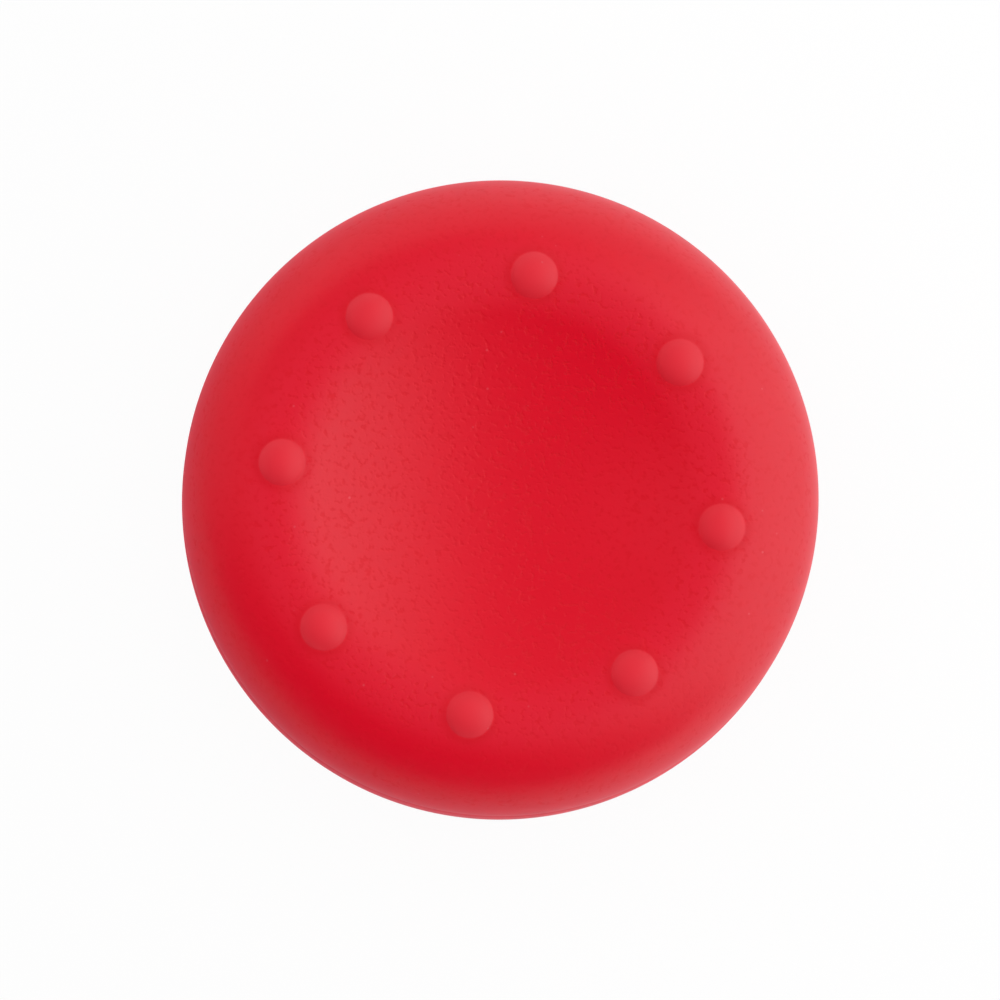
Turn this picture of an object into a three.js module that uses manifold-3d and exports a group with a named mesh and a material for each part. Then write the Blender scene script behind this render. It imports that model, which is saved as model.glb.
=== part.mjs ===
// Thumb grip for a game controller's stick: one moulded silicone cap, in millimetres, +Z up.
// It stands on the rim of its mouth, the origin is the middle of that rim, and the finger dish faces up.

import * as THREE from "three";
import { mergeVertices } from "three/addons/utils/BufferGeometryUtils.js";
import Module from "manifold-3d";

// Hollow that stretches over the head of the stick
const CAVITY_RADIUS = 8.8;
const CAVITY_DEPTH = 4.2; // from the top of the lip up to the flat pad on the head of the stick
const PAD_RADIUS = 5.0; // flat pad that presses on the head
const PAD_BEVEL = 1.4; // width of the cone from the pad out to the ring under the crown
const CROWN_HOLLOW = 0.4; // how much higher the hollow is under the crown than at the pad
const CEILING_ROUND = 1.6;

// Lip that grips the head from below
const LIP_THICKNESS = 1.1;
const LIP_REACH = 2.3; // how far the lip stands in from the wall of the hollow
const LIP_ROUND = 0.35;

// Walls
const SIDE_WALL = 1.7;
const DISH_WALL = 1.1; // at the middle of the dish, the thinnest place of the top

// Top
const DISH_DEPTH = 1.2; // from the crown down to the middle of the dish
const CROWN_ROUND = 4.2; // inner side of the crown, where it runs into the dish
const SHOULDER_WIDTH = 3.18; // from the highest ring of the crown out to the side
const SHOULDER_DROP = 2.8; // from the crown down to the side

// Side
const PARTING_WIDTH = 0.2; // groove left by the joint of the mould, just under the shoulder
const PARTING_DEPTH = 0.07;
const FOOT_ROUND = 0.9; // edge between the side and the rim that it stands on

// Nubs on the crown
const NUB_COUNT = 8;
const NUB_RADIUS = 0.78;
const NUB_HEIGHT = 0.45;
const NUB_ROOT = 0.4; // how deep a nub's own solid reaches into the crown
const FIRST_NUB_ANGLE = 81.65; // degrees from +X

// Fineness of the curved faces
const TURN_STEPS = 80;
const NUB_TURN_STEPS = 20;

// Heights and radii that follow from the sizes above
const OUTER_RADIUS = CAVITY_RADIUS + SIDE_WALL;
const MOUTH_RADIUS = CAVITY_RADIUS - LIP_REACH;
const CROWN_RADIUS = OUTER_RADIUS - SHOULDER_WIDTH;
const PAD_HEIGHT = LIP_THICKNESS + CAVITY_DEPTH;
const CEILING_HEIGHT = PAD_HEIGHT + CROWN_HOLLOW;
const DISH_HEIGHT = PAD_HEIGHT + DISH_WALL;
const CROWN_HEIGHT = DISH_HEIGHT + DISH_DEPTH;
const PARTING_HEIGHT = CROWN_HEIGHT - SHOULDER_DROP;

const silicone = new THREE.MeshStandardMaterial({ color: 0xd71d2c, roughness: 0.55, metalness: 0 });

const manifold = await Module();
manifold.setup();

// Points along an arc of a section. 0 degrees points away from the axis and 90 degrees points up.
function arc(radius, height, reach, rise, fromDegrees, toDegrees, steps) {
  const from = THREE.MathUtils.degToRad(fromDegrees);
  const to = THREE.MathUtils.degToRad(toDegrees);
  return new THREE.EllipseCurve(radius, height, reach, rise, from, to, to < from).getPoints(steps);
}

// A solid turned round the Z axis from a section of (radius, height) points.
function turned(section, steps) {
  const geometry = new THREE.LatheGeometry(section, steps);
  geometry.deleteAttribute("normal");
  geometry.deleteAttribute("uv");
  geometry.rotateX(Math.PI / 2);
  return mergeVertices(geometry, 1e-4);
}

function solidFrom(geometry) {
  return new manifold.Manifold(
    new manifold.Mesh({
      numProp: 3,
      vertProperties: geometry.attributes.position.array,
      triVerts: new Uint32Array(geometry.index.array),
    }),
  );
}

function geometryFrom(solid) {
  const mesh = solid.getMesh();
  const geometry = new THREE.BufferGeometry();
  geometry.setAttribute("position", new THREE.BufferAttribute(mesh.vertProperties, 3));
  geometry.setIndex(new THREE.BufferAttribute(mesh.triVerts, 1));
  geometry.computeVertexNormals();
  return geometry;
}

// The hollow from the middle of its ceiling down to the lip. The ceiling follows the crown above it.
function hollowSection() {
  return [
    new THREE.Vector2(0, PAD_HEIGHT),
    new THREE.Vector2(PAD_RADIUS, PAD_HEIGHT),
    new THREE.Vector2(PAD_RADIUS + PAD_BEVEL, CEILING_HEIGHT),
    ...arc(
      CAVITY_RADIUS - CEILING_ROUND,
      CEILING_HEIGHT - CEILING_ROUND,
      CEILING_ROUND,
      CEILING_ROUND,
      90,
      0,
      6,
    ),
    new THREE.Vector2(CAVITY_RADIUS, LIP_THICKNESS),
  ];
}

// The lip with both edges of its mouth rounded, then the rim that the cap stands on.
function mouthSection() {
  const middle = MOUTH_RADIUS + LIP_ROUND;
  return [
    ...arc(middle, LIP_THICKNESS - LIP_ROUND, LIP_ROUND, LIP_ROUND, 90, 180, 3),
    ...arc(middle, LIP_ROUND, LIP_ROUND, LIP_ROUND, 180, 270, 3),
  ];
}

// The side from the rim up to the groove of the mould.
function sideSection() {
  const groove = OUTER_RADIUS - PARTING_DEPTH;
  return [
    ...arc(OUTER_RADIUS - FOOT_ROUND, FOOT_ROUND, FOOT_ROUND, FOOT_ROUND, -90, 0, 5),
    new THREE.Vector2(OUTER_RADIUS, PARTING_HEIGHT - PARTING_WIDTH),
    new THREE.Vector2(groove, PARTING_HEIGHT - PARTING_WIDTH / 2),
  ];
}

// The shoulder up to the crown, the inner round of the crown, and the dish down to its middle.
// The dish is part of a sphere that touches the inner round, and its radius comes from its depth.
function topSection() {
  const span = (CROWN_RADIUS ** 2 + DISH_DEPTH ** 2) / (2 * DISH_DEPTH);
  const dishRadius = span - CROWN_ROUND;
  const slope = THREE.MathUtils.radToDeg(Math.asin(CROWN_RADIUS / span));
  const crownMiddle = CROWN_HEIGHT - CROWN_ROUND;
  const dishMiddle = DISH_HEIGHT + dishRadius;
  return [
    ...arc(CROWN_RADIUS, PARTING_HEIGHT, SHOULDER_WIDTH, SHOULDER_DROP, 0, 90, 10),
    ...arc(CROWN_RADIUS, crownMiddle, CROWN_ROUND, CROWN_ROUND, 90, 90 + slope, 4).slice(1),
    ...arc(0, dishMiddle, dishRadius, dishRadius, slope - 90, -90, 6).slice(1, -1),
    new THREE.Vector2(0, DISH_HEIGHT),
  ];
}

// One nub: a low dome with a plain root that goes down into the crown.
function nubSolid() {
  const domeRadius = (NUB_RADIUS ** 2 + NUB_HEIGHT ** 2) / (2 * NUB_HEIGHT);
  const foot = THREE.MathUtils.radToDeg(Math.asin((domeRadius - NUB_HEIGHT) / domeRadius));
  const section = [
    new THREE.Vector2(0, -NUB_ROOT),
    new THREE.Vector2(NUB_RADIUS, -NUB_ROOT),
    ...arc(0, NUB_HEIGHT - domeRadius, domeRadius, domeRadius, foot, 90, 5).slice(0, -1),
    new THREE.Vector2(0, NUB_HEIGHT),
  ];
  return solidFrom(turned(section, NUB_TURN_STEPS));
}

function capSolid() {
  const section = [...hollowSection(), ...mouthSection(), ...sideSection(), ...topSection()];
  let cap = solidFrom(turned(section, TURN_STEPS));
  for (let i = 0; i < NUB_COUNT; i++) {
    const angle = THREE.MathUtils.degToRad(FIRST_NUB_ANGLE + (i * 360) / NUB_COUNT);
    const x = CROWN_RADIUS * Math.cos(angle);
    const y = CROWN_RADIUS * Math.sin(angle);
    cap = cap.add(nubSolid().translate([x, y, CROWN_HEIGHT]));
  }
  return cap;
}

const cap = new THREE.Mesh(geometryFrom(capSolid()), silicone);
cap.name = "grip_cap";

const grip = new THREE.Group();
grip.add(cap);

export default grip;
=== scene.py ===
# %% [markdown]
# A thumb grip is a small silicone cap that stretches over the stick of a game controller. It is moulded in
# one piece: a dished top with eight nubs round it, a rounded shoulder, a plain side and, underneath, a hollow
# with an inward lip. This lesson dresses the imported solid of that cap. The solid gives the size and the
# place, and one finer mesh with a real silicone finish stands for it in the picture.

# %% The frame
import math

import bmesh
import bpy
from mathutils import Euler, Matrix, Vector


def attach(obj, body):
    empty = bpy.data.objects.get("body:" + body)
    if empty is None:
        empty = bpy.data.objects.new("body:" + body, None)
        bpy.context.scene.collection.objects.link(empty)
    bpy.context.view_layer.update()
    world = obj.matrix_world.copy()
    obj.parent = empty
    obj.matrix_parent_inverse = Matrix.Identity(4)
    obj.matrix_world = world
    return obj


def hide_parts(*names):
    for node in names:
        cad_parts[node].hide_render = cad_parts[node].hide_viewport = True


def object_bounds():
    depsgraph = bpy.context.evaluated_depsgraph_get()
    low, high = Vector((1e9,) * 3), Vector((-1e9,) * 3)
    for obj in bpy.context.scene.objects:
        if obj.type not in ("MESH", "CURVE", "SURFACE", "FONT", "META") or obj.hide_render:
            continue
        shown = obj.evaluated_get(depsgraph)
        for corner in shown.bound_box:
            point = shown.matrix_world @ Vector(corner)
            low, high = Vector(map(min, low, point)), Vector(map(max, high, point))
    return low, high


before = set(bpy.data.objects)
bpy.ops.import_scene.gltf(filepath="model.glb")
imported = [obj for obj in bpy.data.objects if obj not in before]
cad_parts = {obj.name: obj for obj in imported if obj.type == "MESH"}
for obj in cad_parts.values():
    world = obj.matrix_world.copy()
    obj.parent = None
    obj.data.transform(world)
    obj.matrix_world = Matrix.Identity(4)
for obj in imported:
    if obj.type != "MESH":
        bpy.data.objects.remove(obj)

cad_low, cad_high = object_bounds()
print("box of the packed cap, mm:", [round(1000 * n, 2) for n in (*cad_low, *cad_high)])

# %% [markdown]
# A moulded cap is drawn once, as a section from the axis outwards, and everything else follows by turning
# that section round. So the sizes below are the sizes of the section. The widest radius and the full height
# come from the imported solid, and the rest are the same walls and rounds as in its source, in metres.

# %% Sizes of the section
MM = 0.001

OUTER_RADIUS = cad_high.x
TOP_OF_NUBS = cad_high.z

SIDE_WALL = 1.7 * MM
LIP_THICKNESS = 1.1 * MM
LIP_REACH = 2.3 * MM
LIP_ROUND = 0.35 * MM
CAVITY_DEPTH = 4.2 * MM
PAD_RADIUS = 5.0 * MM
PAD_BEVEL = 1.4 * MM
CROWN_HOLLOW = 0.4 * MM
CEILING_ROUND = 1.6 * MM
DISH_WALL = 1.1 * MM
DISH_DEPTH = 1.2 * MM
CROWN_ROUND = 4.2 * MM
SHOULDER_WIDTH = 3.18 * MM
SHOULDER_DROP = 2.8 * MM
PARTING_WIDTH = 0.2 * MM
PARTING_DEPTH = 0.07 * MM
FOOT_ROUND = 0.9 * MM

CAVITY_RADIUS = OUTER_RADIUS - SIDE_WALL
MOUTH_RADIUS = CAVITY_RADIUS - LIP_REACH
CROWN_RADIUS = OUTER_RADIUS - SHOULDER_WIDTH
PAD_HEIGHT = LIP_THICKNESS + CAVITY_DEPTH
CEILING_HEIGHT = PAD_HEIGHT + CROWN_HOLLOW
DISH_HEIGHT = PAD_HEIGHT + DISH_WALL
CROWN_HEIGHT = DISH_HEIGHT + DISH_DEPTH
PARTING_HEIGHT = CROWN_HEIGHT - SHOULDER_DROP
NUB_HEIGHT = TOP_OF_NUBS - CROWN_HEIGHT

print("crown at", round(CROWN_HEIGHT / MM, 2), "mm, nubs", round(NUB_HEIGHT / MM, 2), "mm above it")

# %% [markdown]
# The dish is part of a sphere that runs into the crown without an edge. Two circles that touch have their
# middles one sum of radii apart, so the sphere's radius follows from the depth of the dish. The same numbers
# give the height of the top at any distance from the axis, which the nubs need later to sit on it.

# %% The curves of the top
touching_span = (CROWN_RADIUS**2 + DISH_DEPTH**2) / (2 * DISH_DEPTH)
DISH_RADIUS = touching_span - CROWN_ROUND
DISH_SLOPE = math.asin(CROWN_RADIUS / touching_span)
DISH_EDGE = DISH_RADIUS * math.sin(DISH_SLOPE)


def top_height(radius):
    """Height of the cap's top at a distance from the axis."""
    if radius >= CROWN_RADIUS:
        across = (radius - CROWN_RADIUS) / SHOULDER_WIDTH
        return PARTING_HEIGHT + SHOULDER_DROP * math.sqrt(1 - across**2)
    if radius >= DISH_EDGE:
        across = CROWN_RADIUS - radius
        return CROWN_HEIGHT - CROWN_ROUND + math.sqrt(CROWN_ROUND**2 - across**2)
    return DISH_HEIGHT + DISH_RADIUS - math.sqrt(DISH_RADIUS**2 - radius**2)


print("dish: sphere of", round(DISH_RADIUS / MM, 1), "mm")
print("steepest place of the dish:", round(math.degrees(DISH_SLOPE), 1), "degrees")

# %% [markdown]
# A section could be typed as a list of points, but then no number in it means anything. Here it is drawn as
# on paper, with a ruler and a compass. Extruding one vertex draws a straight line, and spinning one vertex
# about a middle draws an arc, which can be squashed into part of an ellipse.

# %% Ruler and compass
def line_to(bm, pen, radius, height):
    """Draws a straight line from the pen's vertex and gives the vertex at its end."""
    end = bmesh.ops.extrude_vert_indiv(bm, verts=[pen])["verts"][0]
    end.co = (radius, 0, height)
    return end


def arc_to(bm, pen, radius, height, degrees, steps, squash=1.0):
    """Turns the pen's vertex about a middle, against the clock when degrees are positive."""
    old = set(bm.verts)
    spun = bmesh.ops.spin(
        bm, geom=[pen], cent=(radius, 0, height), axis=(0, -1, 0), angle=math.radians(degrees), steps=steps
    )
    for vert in set(bm.verts) - old:
        vert.co.z = height + (vert.co.z - height) * squash
    return next(part for part in spun["geom_last"] if isinstance(part, bmesh.types.BMVert))


# %% [markdown]
# The line starts under the middle of the dish, on the flat pad that presses on the stick. It goes down the
# wall of the hollow, round the lip, along the rim that the cap stands on, up the side past the fine groove
# that the mould leaves, and over the shoulder and the crown to the middle of the dish.

# %% The section
CEILING_STEPS = 12
LIP_STEPS = 8
FOOT_STEPS = 14
SHOULDER_STEPS = 44
CROWN_STEPS = 16
DISH_STEPS = 44


def draw_hollow(bm):
    middle = CAVITY_RADIUS - CEILING_ROUND
    pen = bm.verts.new((0, 0, PAD_HEIGHT))
    pen = line_to(bm, pen, PAD_RADIUS, PAD_HEIGHT)
    pen = line_to(bm, pen, PAD_RADIUS + PAD_BEVEL, CEILING_HEIGHT)
    pen = line_to(bm, pen, middle, CEILING_HEIGHT)
    pen = arc_to(bm, pen, middle, CEILING_HEIGHT - CEILING_ROUND, -90, CEILING_STEPS)
    return line_to(bm, pen, CAVITY_RADIUS, LIP_THICKNESS)


def draw_lip(bm, pen):
    middle = MOUTH_RADIUS + LIP_ROUND
    pen = line_to(bm, pen, middle, LIP_THICKNESS)
    pen = arc_to(bm, pen, middle, LIP_THICKNESS - LIP_ROUND, 90, LIP_STEPS)
    pen = line_to(bm, pen, MOUTH_RADIUS, LIP_ROUND)
    return arc_to(bm, pen, middle, LIP_ROUND, 90, LIP_STEPS)


def draw_side(bm, pen):
    pen = line_to(bm, pen, OUTER_RADIUS - FOOT_ROUND, 0)
    pen = arc_to(bm, pen, OUTER_RADIUS - FOOT_ROUND, FOOT_ROUND, 90, FOOT_STEPS)
    pen = line_to(bm, pen, OUTER_RADIUS, PARTING_HEIGHT - PARTING_WIDTH)
    pen = line_to(bm, pen, OUTER_RADIUS - PARTING_DEPTH, PARTING_HEIGHT - PARTING_WIDTH / 2)
    return line_to(bm, pen, OUTER_RADIUS, PARTING_HEIGHT)


def draw_top(bm, pen):
    flattening = SHOULDER_DROP / SHOULDER_WIDTH
    slope = math.degrees(DISH_SLOPE)
    pen = arc_to(bm, pen, CROWN_RADIUS, PARTING_HEIGHT, 90, SHOULDER_STEPS, flattening)
    pen = arc_to(bm, pen, CROWN_RADIUS, CROWN_HEIGHT - CROWN_ROUND, slope, CROWN_STEPS)
    return arc_to(bm, pen, 0, DISH_HEIGHT + DISH_RADIUS, -slope, DISH_STEPS)


cap = bmesh.new()
end_of_section = draw_top(cap, draw_side(cap, draw_lip(cap, draw_hollow(cap))))
print("section:", len(cap.verts), "points, ends", round(end_of_section.co.x / MM, 4), "mm from the axis")

# %% [markdown]
# The cap repeats itself at every nub, so one sector with one nub in its middle is built and then copied
# round the axis. A spin of the whole section makes the sector. Both ends of the section lie on the axis, so
# the spin leaves a stack of points at each pole, and merging them closes the tip.

# %% Turning one sector
NUB_COUNT = 8
SECTOR = math.tau / NUB_COUNT
SECTOR_STEPS = 60
WELD = 1e-7


def turn(bm, parts, angle, steps, **options):
    """Spins parts about the upright axis."""
    return bmesh.ops.spin(bm, geom=parts, cent=(0, 0, 0), axis=(0, 0, 1), angle=angle, steps=steps, **options)


def rotate(bm, angle):
    """Rotates everything about the upright axis."""
    bmesh.ops.rotate(bm, verts=bm.verts, cent=(0, 0, 0), matrix=Matrix.Rotation(angle, 3, "Z"))


turn(cap, cap.verts[:] + cap.edges[:], SECTOR, SECTOR_STEPS)
rotate(cap, -SECTOR / 2)
bmesh.ops.remove_doubles(cap, verts=cap.verts, dist=WELD)
print("sector:", len(cap.faces), "faces")

# %% [markdown]
# The nubs are part of the same moulding, so they grow out of the crown with a small soft foot. A boolean
# would leave a hard crease there. Instead a round patch of the crown is cut out, a nub with its own foot is
# turned in place, its skin is lifted to follow the crown, and the two open loops are bridged.

# %% The nub
NUB_RADIUS = 0.77 * MM
NUB_FOOT_ROUND = 0.05 * MM
NUB_PATCH = 1.05 * MM
NUB_SEAM = 0.97 * NUB_PATCH
NUB_STEPS = 72
NUB_FOOT_STEPS = 6
NUB_DOME_STEPS = 20

dome_radius = (NUB_RADIUS**2 + NUB_HEIGHT**2) / (2 * NUB_HEIGHT)
dome_middle = NUB_HEIGHT - dome_radius
touching_radii = dome_radius + NUB_FOOT_ROUND
foot_radius = math.sqrt(touching_radii**2 - (NUB_FOOT_ROUND - dome_middle) ** 2)
foot_turn = math.degrees(math.asin(foot_radius / touching_radii))

nub = bmesh.new()
pen = line_to(nub, nub.verts.new((NUB_SEAM, 0, 0)), foot_radius, 0)
pen = arc_to(nub, pen, foot_radius, NUB_FOOT_ROUND, -foot_turn, NUB_FOOT_STEPS)
arc_to(nub, pen, 0, dome_middle, foot_turn, NUB_DOME_STEPS)
turn(nub, nub.verts[:] + nub.edges[:], math.tau, NUB_STEPS, use_merge=True)
bmesh.ops.remove_doubles(nub, verts=nub.verts, dist=WELD)
for vert in nub.verts:
    vert.co.x += CROWN_RADIUS
    vert.co.z += top_height(vert.co.xy.length)
print("nub:", len(nub.faces), "faces,", round(2 * foot_radius / MM, 2), "mm across its foot")

# %% [markdown]
# The patch is a round hole in the sector's top. Everything nearer to the nub's axis than the rim of the
# patch goes, and then a bridge joins the rim of the hole to the rim of the nub.

# %% Setting the nub in the crown
NEAR_PATCH = 1.2 * NUB_PATCH


def from_nub(vert):
    """Distance of a vertex from the nub's axis. What isn't on the top of the cap counts as far away."""
    if vert.co.z < PARTING_HEIGHT + SHOULDER_DROP / 2:
        return math.inf
    return math.hypot(vert.co.x - CROWN_RADIUS, vert.co.y)


bmesh.ops.delete(cap, geom=[v for v in cap.verts if from_nub(v) < NUB_PATCH], context="VERTS")
nub_mesh = bpy.data.meshes.new("nub")
nub.to_mesh(nub_mesh)
nub.free()
cap.from_mesh(nub_mesh)
bpy.data.meshes.remove(nub_mesh)

rims = [e for e in cap.edges if e.is_boundary and max(from_nub(v) for v in e.verts) < NEAR_PATCH]
bmesh.ops.bridge_loops(cap, edges=rims)
print("bridged along", len(rims), "open edges")

# %% [markdown]
# A last spin copies the finished sector round the axis instead of sweeping it, and the seams are welded.

# %% All round
FIRST_NUB = math.radians(81.65)

rotate(cap, FIRST_NUB)
turn(cap, cap.verts[:] + cap.edges[:] + cap.faces[:], math.tau - SECTOR, NUB_COUNT - 1, use_duplicate=True)
bmesh.ops.remove_doubles(cap, verts=cap.verts, dist=WELD)

open_edges = sum(not e.is_manifold for e in cap.edges)
print("cap with nubs:", len(cap.faces), "faces,", open_edges, "open edges")

# %% [markdown]
# The finished skin becomes one object. Its normals are worked out again, so that all faces look outwards,
# and every face is smooth, because a rubber moulding has no sharp edge anywhere. The object then takes the
# place of the imported solid and rides on its body.

# %% The cap as an object
bmesh.ops.recalc_face_normals(cap, faces=cap.faces)
for face in cap.faces:
    face.smooth = True

cap_mesh = bpy.data.meshes.new("thumb_grip")
cap.to_mesh(cap_mesh)
cap.free()
thumb_grip = bpy.data.objects.new("thumb_grip", cap_mesh)
bpy.context.scene.collection.objects.link(thumb_grip)

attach(thumb_grip, "root")
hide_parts("grip_cap")
print("triangles:", sum(len(p.vertices) - 2 for p in cap_mesh.polygons))

# %% [markdown]
# A finish is a sum of masks and noises. Built node by node such a sum is hard to read, so one small class
# wraps a socket, and arithmetic on it adds the Math nodes that work it out.

# %% Shader maths
class Socket:
    """An output of a shader node, to be calculated with. Without an output it only knows its node tree."""

    def __init__(self, tree, output=None):
        self.tree = tree
        self.output = output

    def node(self, kind, settings=None, inputs=None, output=0):
        """Adds a node, sets it up, then gives each input its value or its link."""
        made = self.tree.nodes.new(kind)
        for name, value in (settings or {}).items():
            setattr(made, name, value)
        for name, value in (inputs or {}).items():
            if isinstance(value, Socket):
                self.tree.links.new(value.output, made.inputs[name])
            else:
                made.inputs[name].default_value = value
        return Socket(self.tree, made.outputs[output])

    def beside(self, name):
        """Another output of the same node."""
        return Socket(self.tree, self.output.node.outputs[name])

    def feed(self, made, name):
        """Links this output to an input of a node that is there already."""
        self.tree.links.new(self.output, made.inputs[name])

    def math(self, operation, *others):
        return self.node("ShaderNodeMath", {"operation": operation}, dict(enumerate((self, *others))))

    def __add__(self, other):
        return self.math("ADD", other)

    def __sub__(self, other):
        return self.math("SUBTRACT", other)

    def __rsub__(self, other):
        return self.node("ShaderNodeMath", {"operation": "SUBTRACT"}, {0: other, 1: self})

    def __mul__(self, other):
        return self.math("MULTIPLY", other)

    __radd__ = __add__
    __rmul__ = __mul__

    def fade(self, low, high):
        """A soft step, from 0 at the low value to 1 at the high one."""
        limits = {"Value": self, "From Min": low, "From Max": high}
        return self.node("ShaderNodeMapRange", {"interpolation_type": "SMOOTHSTEP"}, limits)


# %% [markdown]
# Every mask on the cap is a matter of place: how far from the axis, and how far from the nearest nub. Object
# coordinates give the place, here in millimetres. The eight nubs share one mask, because the angle round the
# axis is folded into a single sector first. The masks hold on the top alone, or they would print through to
# the rim underneath. Each pair of numbers says where a mask starts to fade and where it ends.

# %% Places on the cap
TOP_FADE = (5.75, 6.0)
NUB_FADE = (0.70, 0.84)
FOOT_FADE = (0.84, 1.15)
GRAIN_FADE = (7.4, 8.6)
GRAIN_LOST = 0.4
RUBBED_INSIDE = (5.8, 7.0)
RUBBED_OUTSIDE = (7.8, 8.8)

silicone = bpy.data.materials.new("silicone")
silicone.use_nodes = True
shader = silicone.node_tree.nodes["Principled BSDF"]
cap_mesh.materials.append(silicone)

metres = Socket(silicone.node_tree).node("ShaderNodeTexCoord", output="Object")
place = metres.node("ShaderNodeVectorMath", {"operation": "SCALE"}, {0: metres, "Scale": 1 / MM})
x = place.node("ShaderNodeSeparateXYZ", None, {0: place})
y = x.beside("Y")
on_top = x.beside("Z").fade(*TOP_FADE)
from_axis = (x * x + y * y).math("SQRT")
sector_angle = (y.math("ARCTAN2", x) + (SECTOR / 2 - FIRST_NUB)).math("FLOORED_MODULO", SECTOR) - SECTOR / 2
past_ring = from_axis * sector_angle.math("COSINE") - CROWN_RADIUS / MM
beside_nub = from_axis * sector_angle.math("SINE")
from_nub_axis = (past_ring * past_ring + beside_nub * beside_nub).math("SQRT")

on_nub = (1 - from_nub_axis.fade(*NUB_FADE)) * on_top
at_foot = (1 - from_nub_axis.fade(*FOOT_FADE)) * on_top - on_nub
in_grain = (1 - GRAIN_LOST * from_axis.fade(*GRAIN_FADE)) * (1 - on_nub) * on_top
rubbed = from_axis.fade(*RUBBED_INSIDE) * (1 - from_axis.fade(*RUBBED_OUTSIDE)) * on_top
print("masks made of", len(silicone.node_tree.nodes), "nodes")

# %% [markdown]
# Light passes through something as small as a nub, so its far side is hardly darker than its lit side. A
# negative bump in the shape of a dome evens out some of its shading, while the shape stays in the mesh. The
# bump's depth is a share of the nub's height.

# %% Light through the nubs
EVENED = 0.4

across_nub = from_nub_axis * (MM / NUB_RADIUS)
dome_shape = (1 - across_nub * across_nub).math("MAXIMUM", 0) * on_top
evened = dome_shape.node(
    "ShaderNodeBump", None, {"Height": -EVENED * dome_shape, "Distance": NUB_HEIGHT, "Strength": 1.0}
)
print("shading of the nubs evened out by", EVENED)

# %% [markdown]
# The mould leaves a fine grain on the top, like that of a spark-eroded tool: flat skin with small pits in
# it, about a fifth of a millimetre apart. Two noises make it. The low values of the first one become the
# pits, and the second one, at half the size, keeps the skin between them from being too even. The grain is
# weaker on the shoulder, and the nubs and the side are smooth.

# %% Grain of the mould
PITS_PER_MM = 5.4
PIT_DEPTH = 0.0046 * MM
PIT_LEVELS = (0.29, 0.50)
SKIN_SHARE = 0.5


def noise(scale, detail):
    """A noise over the cap, so fine per millimetre."""
    return place.node("ShaderNodeTexNoise", None, {"Vector": place, "Scale": scale, "Detail": detail})


pits = noise(PITS_PER_MM, detail=1.5)
skin = noise(2 * PITS_PER_MM, detail=1.0)
in_pit = (1 - pits.fade(*PIT_LEVELS)) * in_grain
grain = SKIN_SHARE * skin * in_grain - in_pit
bump = grain.node(
    "ShaderNodeBump", None, {"Height": grain, "Distance": PIT_DEPTH, "Strength": 1.0, "Normal": evened}
)
bump.feed(shader, "Normal")
print("grain:", PITS_PER_MM, "pits per mm,", PIT_DEPTH / MM, "mm deep")

# %% [markdown]
# Silicone is coloured all through, so there is no paint to wear off. The crown is a little paler than the
# rest, because fingers rub it. The nubs are paler still, and that is painted light: it stands in for light
# that passes through something so small and for the sheen on them. The pits are deeper red and duller. The
# ring at a nub's foot is deeper red as well, which is painted shade in the crease round the nub, and it is
# duller. A few specks of dust cling to the rubber: they are the cores of a tenth of the cells of a Voronoi
# texture.

# %% Silicone
RED = (0.738, 0.0016, 0.0170, 1)
PIT_RED = (0.71, 0.0005, 0.0125, 1)
CROWN_RED = (0.752, 0.0072, 0.0260, 1)
# Painted light: the paler red of the nubs stands in for light through them and for their sheen.
NUB_RED_PAINTED_LIGHT = (0.785, 0.0200, 0.0370, 1)
# Painted shade: the deeper red of the ring in the crease round a nub's foot.
FOOT_PAINTED_SHADE = (0.71, 0.0010, 0.0140, 1)
DUST = (0.75, 0.10, 0.12, 1)
# How strongly the painted shade at the nub's foot is laid on.
FOOT_SHADE_SHARE = 0.8
DUST_SHARE = 0.5
CELLS_PER_MM = 2.2
DUSTY_CELLS = (0.90, 0.91)
SPECK_FADE = (0.05, 0.12)
ROUGHNESS = 0.42
ROUGHER_NUB = 0.18
ROUGHER_FOOT = 0.10
ROUGHER_PIT = 0.20
REFRACTION = 1.53


def mix(factor, first, second):
    """Blends two colours, which are the node's inputs 6 and 7 and its output 2."""
    return factor.node("ShaderNodeMix", {"data_type": "RGBA"}, {0: factor, 6: first, 7: second}, 2)


cells = place.node("ShaderNodeTexVoronoi", None, {"Vector": place, "Scale": CELLS_PER_MM}, "Distance")
chosen = cells.node("ShaderNodeSeparateXYZ", None, {0: cells.beside("Color")}).fade(*DUSTY_CELLS)
speck = (1 - cells.fade(*SPECK_FADE)) * chosen

pitted = mix(in_pit, mix(rubbed, RED, CROWN_RED), PIT_RED)
# The nubs get their painted light here, and the ring round each nub's foot its painted shade.
undusted_with_painted_light_and_shade = mix(on_nub, mix(at_foot * FOOT_SHADE_SHARE, pitted, FOOT_PAINTED_SHADE), NUB_RED_PAINTED_LIGHT)
mix(speck * DUST_SHARE, undusted_with_painted_light_and_shade, DUST).feed(shader, "Base Color")

roughness = ROUGHNESS + ROUGHER_NUB * on_nub + ROUGHER_FOOT * at_foot + ROUGHER_PIT * in_pit
roughness.feed(shader, "Roughness")
shader.inputs["IOR"].default_value = REFRACTION
print("silicone made of", len(silicone.node_tree.nodes), "nodes")

# %% [markdown]
# The floor is a wide sheet of white paper. To the camera it is nearly white by its own glow, and the rest
# of it is matt, so that the cap still throws a shadow on it. The matt paper is painted grey on the side
# away from the lamps: painted shade, which the cap gets back as dimmer bounce light. The gloss of the cap
# sees the sheet as a glow that isn't worked out from the lamps, and this glow is painted light. On the lit
# side it is a painted pool of light, brighter than white, and on the other side it is painted shade in grey.
# Close to the cap it is redder, a painted red bounce from the cap, and on the dim side darker too, a painted
# shadow of the cap. This gives the cap its pale edge on the right and its dark one on the left. The sheet
# lies a hair below the cap, so that the two faces don't fight for the same height.

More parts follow.
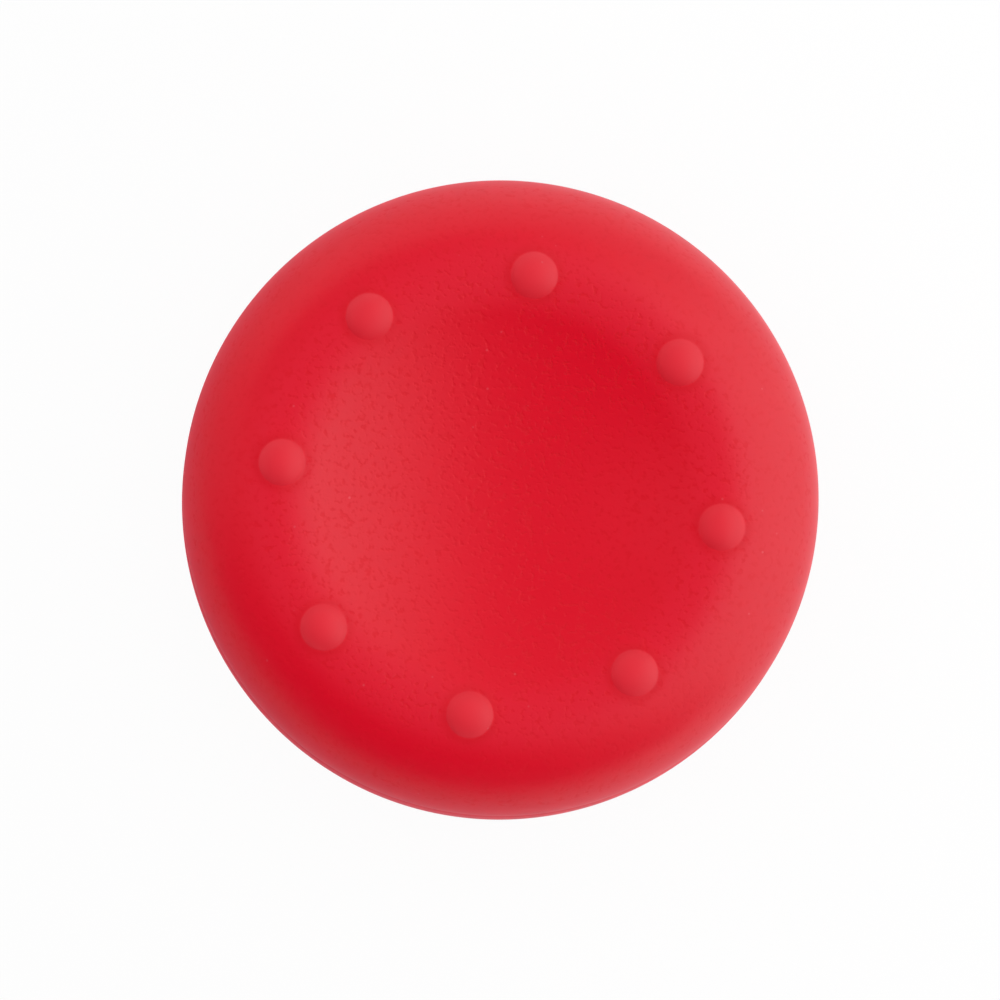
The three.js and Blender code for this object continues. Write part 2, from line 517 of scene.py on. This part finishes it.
# %% Floor
FLOOR_SIZE = 3.0
FLOOR_DROP = 0.02 * MM
WHITE = (1, 1, 1, 1)
LIT_PAINT = WHITE
# Painted shade: the matt paper is greyer on the side away from the lamps.
DIM_PAINTED_SHADE = (0.72, 0.72, 0.72, 1)
SEEN_GLOW = 0.95
# Painted light seen in the cap's gloss: a pool brighter than white on the lit side, grey shade on the other.
LIT_FAR_PAINTED_GLOW = (1.25, 1.18, 1.18, 1)
LIT_NEAR_PAINTED_GLOW = (1.50, 1.06, 1.10, 1)
DIM_FAR_PAINTED_GLOW = (0.42, 0.35, 0.38, 1)
DIM_NEAR_PAINTED_SHADOW = (0.65, 0.08, 0.18, 1)
LIT_FROM = math.radians(15)
LIT_REACH = 30 * MM
SHADE_REACH = 28 * MM

floor_maker = bmesh.new()
bmesh.ops.create_grid(floor_maker, x_segments=1, y_segments=1, size=FLOOR_SIZE / 2)
bmesh.ops.translate(floor_maker, verts=floor_maker.verts, vec=(0, 0, -FLOOR_DROP))
floor_mesh = bpy.data.meshes.new("floor")
floor_maker.to_mesh(floor_mesh)
floor_maker.free()
floor = bpy.data.objects.new("floor", floor_mesh)
bpy.context.scene.collection.objects.link(floor)

paper = bpy.data.materials.new("pale_paper")
paper.use_nodes = True
paper.node_tree.nodes.clear()
ray = Socket(paper.node_tree).node("ShaderNodeLightPath", output="Is Camera Ray")
seen = ray.math("MAXIMUM", ray.beside("Is Transmission Ray"))
mirrored = ray.beside("Is Glossy Ray")
spot = ray.node("ShaderNodeTexCoord", output="Object")
along = spot.node("ShaderNodeSeparateXYZ", None, {0: spot})
across = along.beside("Y") * math.sin(LIT_FROM) + along * math.cos(LIT_FROM)
lit = across.fade(-LIT_REACH, LIT_REACH)
from_cap = spot.node("ShaderNodeVectorMath", {"operation": "LENGTH"}, {0: spot}, "Value")
in_the_open = from_cap.fade(OUTER_RADIUS, SHADE_REACH)


def paint(colour):
    """Matt paper."""
    return ray.node("ShaderNodeBsdfDiffuse", None, {"Color": colour})


def glow(colour):
    """Paper that gives off light of one colour."""
    return ray.node("ShaderNodeEmission", None, {"Color": colour})


def blend(factor, first, second):
    """Blends two shaders."""
    return factor.node("ShaderNodeMixShader", None, {0: factor, 1: first, 2: second})


# The matt paper, with painted shade on the side away from the lamps.
matt = blend(lit, paint(DIM_PAINTED_SHADE), paint(LIT_PAINT))
in_sight = blend(seen * SEEN_GLOW, matt, glow(WHITE))
# Painted glow for the gloss: near the cap a painted shadow and red bounce, farther out painted light and
# shade.
near = blend(lit, glow(DIM_NEAR_PAINTED_SHADOW), glow(LIT_NEAR_PAINTED_GLOW))
far = blend(lit, glow(DIM_FAR_PAINTED_GLOW), glow(LIT_FAR_PAINTED_GLOW))
surface = blend(mirrored, in_sight, blend(in_the_open, near, far))
surface.feed(paper.node_tree.nodes.new("ShaderNodeOutputMaterial"), "Surface")
floor_mesh.materials.append(paper)
print("floor:", FLOOR_SIZE, "m wide, glow", SEEN_GLOW)

# %% [markdown]
# The picture looks almost straight down on the cap. The camera could stand close with a wide lens, but then
# the side of the cap would show all round. So it stands far off, and its long lens is worked out from that
# distance and from the width that the picture shows.

# %% Camera
CAMERA_DISTANCE = 1.2
FIELD = 33.03 * MM
SENSOR = 36.0
LEAN = math.radians(2.4)
LEAN_TOWARDS = math.radians(250)
TARGET = Vector((-0.01 * MM, -0.03 * MM, 4.0 * MM))

camera_data = bpy.data.cameras.new("camera")
camera = bpy.data.objects.new("camera", camera_data)
bpy.context.scene.collection.objects.link(camera)
bpy.context.scene.camera = camera
camera.rotation_euler = Euler((-LEAN * math.sin(LEAN_TOWARDS), LEAN * math.cos(LEAN_TOWARDS), 0))
backwards = camera.rotation_euler.to_matrix() @ Vector((0, 0, 1))
camera.location = TARGET + backwards * CAMERA_DISTANCE
camera_data.sensor_width = SENSOR
camera_data.lens = SENSOR * CAMERA_DISTANCE / FIELD
camera_data.clip_start = 0.01
camera_data.clip_end = 10
print("camera:", round(camera_data.lens), "mm lens,", round(math.degrees(LEAN), 1), "degrees off the upright")

# %% [markdown]
# Light on rubber does two things. It shines back from the skin, and it goes in, wanders and comes out red
# from everywhere, even from the far side of a nub. Real lamps do both at once. Here each gets its own lamps,
# so that the shine and the red can be set apart from each other. Softboxes give the shine:
# a large one on the right, smaller and weaker ones behind and on the left. The red comes from a dome of
# light, leant towards the right and the back, and from one low lamp at the right and the front. These two
# leave no shine.

# %% Lamps
def direction(azimuth, zenith):
    """The way from the cap towards a place that is so many degrees round and so many down from overhead."""
    return Euler((0, math.radians(zenith), math.radians(azimuth))).to_matrix() @ Vector((0, 0, 1))


def softbox(name, azimuth, zenith, width, height, brightness, distance=0.6):
    """A rectangular lamp that faces the cap. Its brightness is a share of white."""
    towards = direction(azimuth, zenith)
    data = bpy.data.lights.new(name, "AREA")
    data.shape = "RECTANGLE"
    data.size = width
    data.size_y = height
    data.energy = brightness * width * height * math.pi
    lamp = bpy.data.objects.new(name, data)
    lamp.location = towards * distance
    lamp.rotation_euler = towards.to_track_quat("Z", "Y").to_euler()
    lamp.visible_camera = False
    lamp.visible_diffuse = False
    data.cycles.use_multiple_importance_sampling = False
    bpy.context.scene.collection.objects.link(lamp)
    return lamp


softbox("softbox_right", azimuth=2, zenith=64, width=1.0, height=1.2, brightness=1.44)
softbox("softbox_back", azimuth=103, zenith=79, width=1.3, height=0.7, brightness=0.66)
softbox("softbox_left", azimuth=170, zenith=50, width=0.15, height=0.8, brightness=0.75)

low_light = softbox("low_light", azimuth=326, zenith=82, width=1.0, height=0.3, brightness=0.7)
low_light.visible_diffuse = True
low_light.visible_glossy = False

DOME = 1.0
DOME_SPREAD = math.radians(170)
DOME_ZENITH = 22
DOME_AZIMUTH = 64

dome_data = bpy.data.lights.new("dome", "SUN")
dome_data.angle = DOME_SPREAD
dome_data.energy = DOME * math.pi
dome_data.cycles.use_multiple_importance_sampling = False
dome = bpy.data.objects.new("dome", dome_data)
dome.rotation_euler = direction(DOME_AZIMUTH, DOME_ZENITH).to_track_quat("Z", "Y").to_euler()
dome.visible_camera = False
dome.visible_glossy = False
bpy.context.scene.collection.objects.link(dome)

# %% [markdown]
# The world is white only to the camera, and to rays that come through something clear. To every other ray,
# the gloss of the cap among them, it is a dark room, as a studio is outside the reach of its lamps. A white
# sky in the gloss would make the deep red of the dish pale.

# %% The room
ROOM = 0.02

world = bpy.data.worlds.new("room")
bpy.context.scene.world = world
world.use_nodes = True
background = world.node_tree.nodes["Background"]
background.inputs["Color"].default_value = WHITE
sight = Socket(world.node_tree).node("ShaderNodeLightPath", output="Is Camera Ray")
sight.math("MAXIMUM", sight.beside("Is Transmission Ray")).math("MAXIMUM", ROOM).feed(background, "Strength")
bpy.context.scene.view_settings.view_transform = "Standard"
print("room:", ROOM, "of white")
